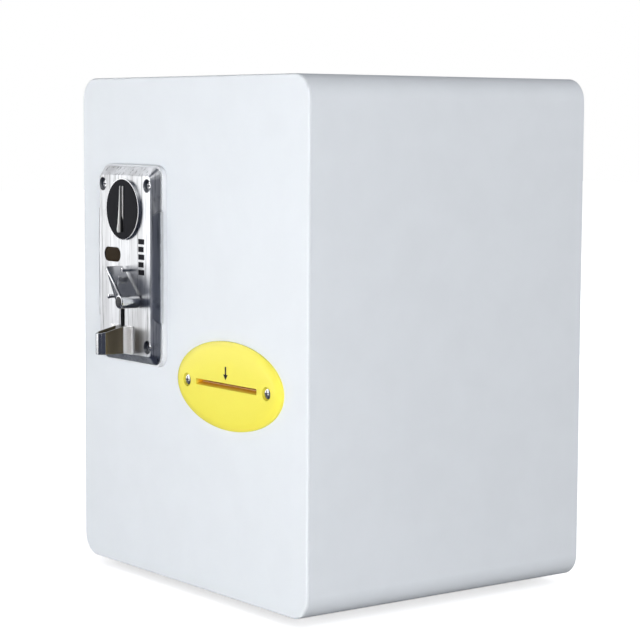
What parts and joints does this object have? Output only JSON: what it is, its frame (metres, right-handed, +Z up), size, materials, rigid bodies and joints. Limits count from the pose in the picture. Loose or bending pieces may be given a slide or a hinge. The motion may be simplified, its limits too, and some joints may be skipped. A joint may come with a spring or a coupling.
{
  "type": "ticket vending machine",
  "caption": "Small counter-top ticket vending machine: rounded sheet-steel cabinet, chromed coin acceptor with return lever and cup, oval ticket mouth, hinged rear service door.",
  "frame": {"origin": "middle of the footprint at the level of the feet", "axes": "+Z up, the front panel faces -Y, +X to the right of someone facing the front"},
  "size_m": [0.229, 0.2294, 0.294],
  "materials": {
    "front_paint": "smooth satin powder coat, cool white",
    "body_paint": "satin powder coat, off-white",
    "rear_paint": "satin powder coat, off-white",
    "chrome_plate": "chromed zinc casting, face brushed upright",
    "bright_steel": "zinc-plated steel",
    "black_disc": "black anodised, satin",
    "spacer_plastic": "light grey moulded plastic",
    "amber_lens": "dark amber window",
    "body_plastic": "black moulded plastic",
    "grey_plastic": "grey moulded plastic",
    "coil_brass": "plated coil frame",
    "green_board": "solder-masked circuit board",
    "yellow_plastic": "glossy yellow moulding",
    "galvanised": "galvanised sheet",
    "black_rubber": "moulded rubber",
    "brass_bush": "sintered bronze",
    "white_nylon": "moulded nylon",
    "ticket_paper": "printed card tickets",
    "red_plastic": "red moulding",
    "black_plastic": "black moulding"
  },
  "bodies": {
    "cabinet": {"cabinet_wrap": "body_paint", "front_panel": "front_paint", "rear_panel": "rear_paint", "feet": "black_rubber", "foot_screws": "bright_steel", "frame_hinge_leaves": "bright_steel", "hinge_pins": "bright_steel", "acceptor_spacer": "spacer_plastic", "acceptor_plate": "chrome_plate", "acceptor_screws": "chrome_plate", "coin_entry_disc": "black_disc", "coin_slot_lips": "chrome_plate", "value_window": "amber_lens", "lever_spring": "bright_steel", "stop_pins": "chrome_plate", "return_cup": "chrome_plate", "acceptor_body": "body_plastic", "gate_pin": "bright_steel", "solenoid": "coil_brass", "acceptor_board": "green_board", "coin_chute": "grey_plastic", "cash_runners": "galvanised", "cash_box": "galvanised", "cash_box_lid": "galvanised", "ticket_bezel": "yellow_plastic", "bezel_screws": "bright_steel", "bezel_nuts": "bright_steel", "dispenser_frame": "galvanised", "ticket_guides": "grey_plastic", "shaft_bushes": "brass_bush", "motor": "galvanised", "pinch_pivot": "bright_steel", "pinch_spring": "bright_steel", "ticket_tray": "galvanised", "ticket_stack": "ticket_paper", "ticket_strip": "ticket_paper", "power_supply": "galvanised", "control_board": "green_board", "power_inlet": "black_plastic"},
    "door": {"rear_door": "rear_paint", "door_hinge_leaves": "bright_steel", "lock_barrel": "chrome_plate", "lock_nut": "bright_steel"},
    "lock": {"lock_plug": "chrome_plate", "lock_cam": "bright_steel"},
    "lever": {"return_lever": "chrome_plate", "lever_shaft": "bright_steel", "lever_cap": "bright_steel"},
    "gate": {"return_gate": "grey_plastic"},
    "plunger": {"solenoid_plunger": "bright_steel"},
    "drive": {"drive_shaft": "bright_steel", "drive_rollers": "black_rubber", "drive_gear": "white_nylon"},
    "pinion": {"motor_pinion": "brass_bush"},
    "arm": {"pinch_arm": "galvanised"},
    "pinch": {"pinch_rollers": "black_rubber"},
    "handle": {"cash_box_handle": "bright_steel"},
    "button": {"feed_button": "red_plastic"},
    "fuse": {"fuse_drawer": "black_plastic"},
    "rocker": {"switch_rocker": "red_plastic"}
  },
  "joints": [
    {"name": "door_swing", "type": "hinge", "parent": "cabinet", "child": "door", "pos_m": [-0.1, 0.1115, 0.16925], "axis": [0, 0, 1], "range_deg": [0, 110]},
    {"name": "lock_turn", "type": "hinge", "parent": "door", "child": "lock", "pos_m": [0.075, 0.108, 0.16925], "axis": [0, -1, 0], "range_deg": [0, 90]},
    {"name": "lever_turn", "type": "hinge", "parent": "cabinet", "child": "lever", "pos_m": [-0.0395, -0.0971, 0.165], "axis": [0, -1, 0], "range_deg": [0, 40], "stiffness_Nm_per_rad": 0.08, "springref_deg": -17.19},
    {"name": "gate_swing", "type": "hinge", "parent": "cabinet", "child": "gate", "pos_m": [-0.0506, -0.059, 0.2282], "axis": [0, -1, 0], "range_deg": [0, 5.5]},
    {"name": "plunger_pull", "type": "slide", "parent": "cabinet", "child": "plunger", "axis": [-1, 0, 0], "range_m": [0, 0.003], "stiffness_N_per_m": 120, "springref_m": -0.003},
    {"name": "roller_spin", "type": "hinge", "parent": "cabinet", "child": "drive", "pos_m": [0.043, -0.056, 0.11385], "axis": [1, 0, 0], "continuous": true},
    {"name": "motor_spin", "type": "hinge", "parent": "cabinet", "child": "pinion", "pos_m": [0.083, -0.03187, 0.10385], "axis": [1, 0, 0], "continuous": true},
    {"name": "pinch_lift", "type": "hinge", "parent": "cabinet", "child": "arm", "pos_m": [0.043, -0.036, 0.13575], "axis": [-1, 0, 0], "range_deg": [0, 10], "stiffness_Nm_per_rad": 0.4, "springref_deg": -11.46},
    {"name": "pinch_spin", "type": "hinge", "parent": "arm", "child": "pinch", "pos_m": [0.043, -0.056, 0.13075], "axis": [1, 0, 0], "continuous": true},
    {"name": "handle_swing", "type": "hinge", "parent": "cabinet", "child": "handle", "pos_m": [-0.048, 0.0686, 0.04926], "axis": [1, 0, 0], "range_deg": [0, 90]},
    {"name": "feed_press", "type": "slide", "parent": "cabinet", "child": "button", "axis": [1, 0, 0], "range_m": [0, 0.0012], "stiffness_N_per_m": 300, "springref_m": -0.002},
    {"name": "fuse_pull", "type": "slide", "parent": "cabinet", "child": "fuse", "axis": [0, 1, 0], "range_m": [0, 0.012]},
    {"name": "switch_tip", "type": "hinge", "parent": "cabinet", "child": "rocker", "pos_m": [0.014, 0.1065, 0.036], "axis": [0, 0, -1], "range_deg": [0, 16]}
  ],
  "couplings": [
    {"joint": "gate_swing", "follows": "lever_turn", "ratio": 0.1375},
    {"joint": "motor_spin", "follows": "roller_spin", "ratio": -3.3333},
    {"joint": "pinch_spin", "follows": "roller_spin", "ratio": -1.2857}
  ]
}
